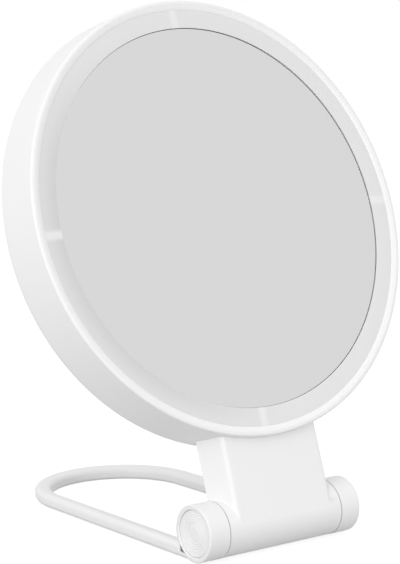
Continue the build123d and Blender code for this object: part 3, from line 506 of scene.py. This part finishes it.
def merged_copy(node, name, slot_name, body, crease=CREASE, cuts=()):
    """The node's own shape with corners joined and long faces cut, so that all its faces shade evenly."""
    work = bmesh.new()
    work.from_mesh(frame["nodes"][node].data)
    bmesh.ops.remove_doubles(work, verts=work.verts, dist=SAME_CORNER)
    for depth in cuts:
        everything = work.verts[:] + work.edges[:] + work.faces[:]
        bmesh.ops.bisect_plane(
            work, geom=everything, plane_co=(0, depth, 0), plane_no=(0, 1, 0), dist=SAME_POINT)
    piece = finish_piece(work, name, slot_name, body, node, crease)
    evener = piece.modifiers.new("even_normals", "WEIGHTED_NORMAL")
    evener.keep_sharp = True
    evener.weight = LARGE_FACE_WEIGHT


def turned_piece(outline, rounds, steps, place):
    """A closed (radius, depth) outline in millimetres, some corners rounded, spun round the axis."""
    work = bmesh.new()
    corners = [work.verts.new((radius * MM, along * MM, 0)) for radius, along in outline]
    work.faces.new(corners)
    for number, radius in rounds.items():
        bmesh.ops.bevel(
            work, geom=[corners[number]], offset=radius * MM, offset_type="OFFSET", segments=5, profile=0.5,
            affect="VERTICES", material=-1)
    bmesh.ops.delete(work, geom=work.faces[:], context="FACES_ONLY")
    on_axis = [edge for edge in work.edges if max(abs(v.co.x) for v in edge.verts) < SAME_POINT]
    bmesh.ops.delete(work, geom=on_axis, context="EDGES")
    bmesh.ops.spin(
        work, geom=work.verts[:] + work.edges[:], cent=(0, 0, 0), axis=(0, 1, 0), dvec=(0, 0, 0),
        angle=FULL_TURN, steps=steps, use_merge=True, use_duplicate=False)
    bmesh.ops.remove_doubles(work, verts=work.verts, dist=SAME_POINT)
    bmesh.ops.recalc_face_normals(work, faces=work.faces)
    work.transform(place)
    return work


# Settings

class MirrorStageSettings(bpy.types.PropertyGroup):
    lens: bpy.props.FloatProperty(
        name="Lens", description="Focal length on a 36 mm wide sensor", default=103.06, min=10.0,
        unit="CAMERA")
    side_power: bpy.props.FloatProperty(
        name="Side light", description="Power of the soft light on the left", default=4.7, min=0.0,
        subtype="POWER")
    front_power: bpy.props.FloatProperty(
        name="Front light", description="Power of the soft light in front", default=4.1, min=0.0,
        subtype="POWER")
    sky_level: bpy.props.FloatProperty(
        name="Sky level", description="Brightness of the light from all round", default=0.83, min=0.0)
    floor_size: bpy.props.FloatProperty(
        name="Floor size", description="Width of the floor", default=6.0, min=1.0, unit="LENGTH")


class MirrorFinishSettings(bpy.types.PropertyGroup):
    white: bpy.props.FloatVectorProperty(
        name="White plastic", description="Colour of the stand, the neck and the housing",
        default=(0.86, 0.86, 0.86), min=0.0, max=1.0, subtype="COLOR")
    smooth_white: bpy.props.FloatVectorProperty(
        name="Smooth white plastic", description="Colour of the bezel and of the discs in the end caps",
        default=(0.88, 0.88, 0.88), min=0.0, max=1.0, subtype="COLOR")
    ring: bpy.props.FloatVectorProperty(
        name="Light ring", description="Colour of the frosted light ring, unlit",
        default=(0.76, 0.76, 0.76), min=0.0, max=1.0, subtype="COLOR")
    glass: bpy.props.FloatVectorProperty(
        name="Silvering", description="Colour that the mirror gives back",
        default=(0.685, 0.685, 0.685), min=0.0, max=1.0, subtype="COLOR")
    cell_body: bpy.props.FloatVectorProperty(
        name="Cell film", description="Colour of the film round the cells",
        default=(0.02, 0.022, 0.028), min=0.0, max=1.0, subtype="COLOR")
    cell_band: bpy.props.FloatVectorProperty(
        name="Cell band", description="Colour of the band at one end of each cell",
        default=(0.42, 0.24, 0.1), min=0.0, max=1.0, subtype="COLOR")


class MirrorHeadSettings(bpy.types.PropertyGroup):
    steps: bpy.props.IntProperty(
        name="Steps round", description="Faces round the turned rings", default=288, min=48, max=512)
    lip_round: bpy.props.FloatProperty(
        name="Bezel rounding", description="Rounding of the bezel's ridge", default=0.0002, min=0.0,
        unit="LENGTH")


class MirrorNeckSettings(bpy.types.PropertyGroup):
    segments: bpy.props.IntProperty(
        name="Blend segments", description="Faces up each blend beside the neck", default=16, min=4, max=48)
    rows: bpy.props.IntProperty(
        name="Blend rows", description="Faces along each blend beside the neck", default=24, min=4, max=96)


# Operators

class MIRROR_OT_camera(bpy.types.Operator):
    """Camera at the place and angle of the picture"""
    bl_idname = "mirror.camera"
    bl_label = "Camera"

    def execute(self, context):
        data = bpy.data.cameras.new("picture_camera")
        data.sensor_width = SENSOR_WIDTH
        data.lens = context.scene.mirror_stage.lens
        camera = bpy.data.objects.new("picture_camera", data)
        context.scene.collection.objects.link(camera)
        yaw, pitch, roll = (math.radians(angle) for angle in (CAMERA_YAW, CAMERA_PITCH, CAMERA_ROLL))
        ahead = Vector((-math.sin(yaw) * math.cos(pitch), math.cos(yaw) * math.cos(pitch), -math.sin(pitch)))
        level = Vector((math.cos(yaw), math.sin(yaw), 0))
        upright = level.cross(ahead)
        right = math.cos(roll) * level + math.sin(roll) * upright
        up = math.cos(roll) * upright - math.sin(roll) * level
        turn = Matrix((right, up, -ahead)).transposed()
        camera.matrix_world = Matrix.Translation(CAMERA_PLACE) @ turn.to_4x4()
        context.scene.camera = camera
        return {"FINISHED"}


class MIRROR_OT_stage(bpy.types.Operator):
    """Pale floor, even sky and two large soft lights"""
    bl_idname = "mirror.stage"
    bl_label = "Stage"

    def execute(self, context):
        settings = context.scene.mirror_stage
        work = bmesh.new()
        bmesh.ops.create_grid(work, x_segments=1, y_segments=1, size=settings.floor_size / 2)
        mesh = bpy.data.meshes.new("floor")
        work.to_mesh(mesh)
        work.free()
        floor = bpy.data.objects.new("floor", mesh)
        context.scene.collection.objects.link(floor)
        mesh.materials.append(self.floor_finish())
        self.sky(context, settings.sky_level)
        self.light(context, "side_light", SIDE_LAMP, settings.side_power)
        self.light(context, "front_light", FRONT_LAMP, settings.front_power)
        context.scene.view_settings.view_transform = "Standard"
        return {"FINISHED"}

    def floor_finish(self):
        """White to the eye but for the object's shadow, and grey for the light that it gives back."""
        finish = Finish("white_floor")
        lit = finish.node("BsdfDiffuse", None, {"Color": grey(FLOOR_SEEN)})
        glow = finish.node("Emission", None, {"Color": grey(1.0), "Strength": FLOOR_GLOW})
        shown = finish.node("AddShader", None, {0: lit, 1: glow})
        plain = finish.node("BsdfDiffuse", None, {"Color": grey(FLOOR_UNSEEN)})
        surface = finish.node("MixShader", None, {0: finish.seen(), 1: plain, 2: shown})
        finish.node("OutputMaterial", None, {"Surface": surface})
        return finish.material

    def sky(self, context, level):
        world = bpy.data.worlds.new("white_sky")
        context.scene.world = world
        world.use_nodes = True
        sky = NodeWork(world.node_tree)
        strength = sky.node("MapRange", None, {"Value": sky.seen(), "To Min": level, "To Max": 1.0})
        background = sky.node("Background", None, {"Color": grey(1.0), "Strength": strength})
        sky.node("OutputWorld", None, {"Surface": background})

    def light(self, context, name, place, power):
        data = bpy.data.lights.new(name, "AREA")
        data.shape = "DISK"
        data.size = LAMP_SIZE
        data.energy = power
        lamp = bpy.data.objects.new(name, data)
        context.scene.collection.objects.link(lamp)
        lamp.location = place
        lamp.rotation_euler = (Vector(LAMP_AIM) - Vector(place)).to_track_quat("-Z", "Y").to_euler()


class MIRROR_OT_finishes(bpy.types.Operator):
    """Makes all finishes, and gives every part that keeps its own shape its own"""
    bl_idname = "mirror.finishes"
    bl_label = "Finishes"

    def execute(self, context):
        finishes.update(make_finishes(context.scene.mirror_finishes))
        slots = {entry["node"]: entry["material_slot"] for entry in frame["record"]["subparts"]}
        for name, node in frame["nodes"].items():
            node.data.materials.clear()
            node.data.materials.append(finishes[slots[name]])
        return {"FINISHED"}


class MIRROR_OT_head(bpy.types.Operator):
    """Housing, bezel, light ring and mirror plate"""
    bl_idname = "mirror.head"
    bl_label = "Head"

    def execute(self, context):
        settings = context.scene.mirror_head
        place = head_place @ Matrix.Translation((0, rim_front, head_centre))
        merged_copy("rear_housing", "housing_shell", "white_plastic", "head")
        self.bezel(settings, place)
        self.light_ring(settings, place)
        self.plate(settings, place)
        return {"FINISHED"}

    def bezel(self, settings, place):
        outline = [
            (BEZEL_INSIDE, BEZEL_SEAT), (BEZEL_EDGE_RADIUS, BEZEL_EDGE_FRONT),
            (BEZEL_RIDGE_RADIUS, BEZEL_RIDGE_FRONT), (BEZEL_OUTSIDE, BEZEL_OUTSIDE_FRONT),
            (BEZEL_OUTSIDE, BEZEL_BACK), (BEZEL_SEAT_RADIUS, BEZEL_BACK), (BEZEL_SEAT_RADIUS, BEZEL_SEAT),
        ]
        work = turned_piece(outline, {2: settings.lip_round / MM}, settings.steps, place)
        finish_piece(work, "rim_bezel", "white_gloss", "head", "front_bezel")

    def light_ring(self, settings, place):
        outline = [
            (RING_INSIDE, RING_INSIDE_FRONT), (RING_OUTSIDE, RING_OUTSIDE_FRONT),
            (RING_FLANGE_INSIDE, RING_FLANGE_FRONT), (RING_FLANGE_OUTSIDE, RING_FLANGE_FRONT),
            (RING_FLANGE_OUTSIDE, RING_FLANGE_BACK), (RING_OUTSIDE, RING_FLANGE_BACK),
            (RING_WALL_OUTSIDE, RING_BACK), (RING_WALL_OUTSIDE, RING_WALL_BACK),
            (RING_WALL_INSIDE, RING_WALL_BACK), (RING_WALL_INSIDE, RING_LEDGE_BACK),
            (RING_INSIDE, RING_LEDGE_BACK),
        ]
        work = turned_piece(outline, {0: RING_ROUND}, settings.steps, place)
        finish_piece(work, "light_ring", "frosted_plastic", "head", "diffuser_ring")

    def plate(self, settings, place):
        outline = [
            (0, GLASS_FRONT), (GLASS_RADIUS - GLASS_BEVEL, GLASS_FRONT),
            (GLASS_RADIUS, GLASS_FRONT + GLASS_BEVEL), (GLASS_RADIUS, GLASS_BACK), (0, GLASS_BACK),
        ]
        work = turned_piece(outline, {2: GLASS_ROUND}, settings.steps, place)
        finish_piece(work, "mirror_plate", "mirror_glass", "head", "mirror_glass")


class MIRROR_OT_neck(bpy.types.Operator):
    """Neck with its hinge barrel, and the soft blends where the sides meet the barrel"""
    bl_idname = "mirror.neck"
    bl_label = "Neck"

    def execute(self, context):
        merged_copy("neck_shell", "neck_front", "white_plastic", "head")
        merged_copy("neck_back_cover", "neck_cover", "white_plastic", "head")
        for name, side in (("neck_blend_left", -1), ("neck_blend_right", 1)):
            finish_piece(self.blend(context.scene.mirror_neck, side), name, "white_plastic", "head", None)
        return {"FINISHED"}

    def wall(self, depth):
        """How far the neck's side is from the middle at a depth, with its rounded front edge."""
        if depth >= EDGE_ROUND_BACK:
            return NECK_FRONT_HALF + NECK_SLANT * (depth + BARREL_RADIUS)
        sideways = math.sqrt(EDGE_ROUND ** 2 - (depth + BARREL_RADIUS - EDGE_ROUND) ** 2)
        return EDGE_ROUND_START + sideways

    def section(self, settings, turn):
        """The blend's outline at a turn round the hinge axis: hidden corner first, then the hollow curve."""
        sine = math.sin(turn)
        corner = self.wall(-BARREL_RADIUS * sine)
        room_aside = BARREL_HALF - corner
        room_ahead = BLEND_SHARE * BARREL_RADIUS * (1 / sine - 1)
        limits = (room_aside, room_ahead, BLEND_REACH)
        reach = sum(limit ** -BLEND_POWER for limit in limits) ** (-1 / BLEND_POWER)
        start = Vector((self.wall(-(BARREL_RADIUS + reach) * sine), BARREL_RADIUS + reach))
        middle = Vector((corner, BARREL_RADIUS))
        end = Vector((corner + reach, BARREL_RADIUS))
        points = [middle]
        for number in range(settings.segments + 1):
            share = number / settings.segments
            points.append((1 - share) ** 2 * start + 2 * share * (1 - share) * middle + share ** 2 * end)
        return points

    def blend(self, settings, side):
        """A hollow curve that fills the corner between the neck's side and the barrel."""
        work = bmesh.new()
        rows = []
        for number in range(settings.rows + 1):
            turn = math.radians(BLEND_START + BLEND_TURN * number / settings.rows)
            corners = []
            for across, out in self.section(settings, turn):
                spot = (side * across * MM, -out * math.sin(turn) * MM, out * math.cos(turn) * MM)
                corners.append(work.verts.new(spot))
            rows.append([work.edges.new(pair) for pair in zip(corners, corners[1:] + corners[:1])])
        for first, second in zip(rows, rows[1:]):
            bmesh.ops.bridge_loops(work, edges=first + second)
        bmesh.ops.holes_fill(work, edges=work.edges, sides=0)
        bmesh.ops.recalc_face_normals(work, faces=work.faces)
        work.transform(head_place)
        return work


class MIRROR_OT_stand(bpy.types.Operator):
    """Loop stand with its end caps and their discs"""
    bl_idname = "mirror.stand"
    bl_label = "Stand"

    def execute(self, context):
        cuts = [hinge_place.y + distance * MM for distance in LEG_CUTS]
        merged_copy("stand_loop", "loop_stand", "white_plastic", "stand", cuts=cuts)
        merged_copy("power_button", "button_disc", "white_gloss", "power_button", DISC_CREASE)
        merged_copy("hinge_cover", "cover_disc", "white_gloss", "stand", DISC_CREASE)
        return {"FINISHED"}


class MIRROR_PT_panel(bpy.types.Panel):
    """Lists the steps that build the mirror"""
    bl_idname = "MIRROR_PT_panel"
    bl_label = "Makeup mirror"
    bl_space_type = "VIEW_3D"
    bl_region_type = "UI"
    bl_category = "Mirror"

    def draw(self, context):
        for group in settings_groups:
            settings = getattr(context.scene, group)
            for name in settings.bl_rna.properties.keys():
                if name not in ("rna_type", "name"):
                    self.layout.prop(settings, name)
        for operator in operators:
            self.layout.operator(operator.bl_idname)


settings_groups = {
    "mirror_stage": MirrorStageSettings, "mirror_finishes": MirrorFinishSettings,
    "mirror_head": MirrorHeadSettings, "mirror_neck": MirrorNeckSettings,
}
operators = (
    MIRROR_OT_camera, MIRROR_OT_stage, MIRROR_OT_finishes, MIRROR_OT_head, MIRROR_OT_neck, MIRROR_OT_stand,
)


def register():
    for group in settings_groups.values():
        bpy.utils.register_class(group)
    for operator in operators:
        bpy.utils.register_class(operator)
    bpy.utils.register_class(MIRROR_PT_panel)
    for name, group in settings_groups.items():
        setattr(bpy.types.Scene, name, bpy.props.PointerProperty(type=group))


def unregister():
    for name in settings_groups:
        delattr(bpy.types.Scene, name)
    bpy.utils.unregister_class(MIRROR_PT_panel)
    for operator in reversed(operators):
        bpy.utils.unregister_class(operator)
    for group in settings_groups.values():
        bpy.utils.unregister_class(group)


def main():
    register()
    for operator in operators:
        family, step = operator.bl_idname.split(".")
        getattr(getattr(bpy.ops, family), step)()


if __name__ == "__main__":
    main()
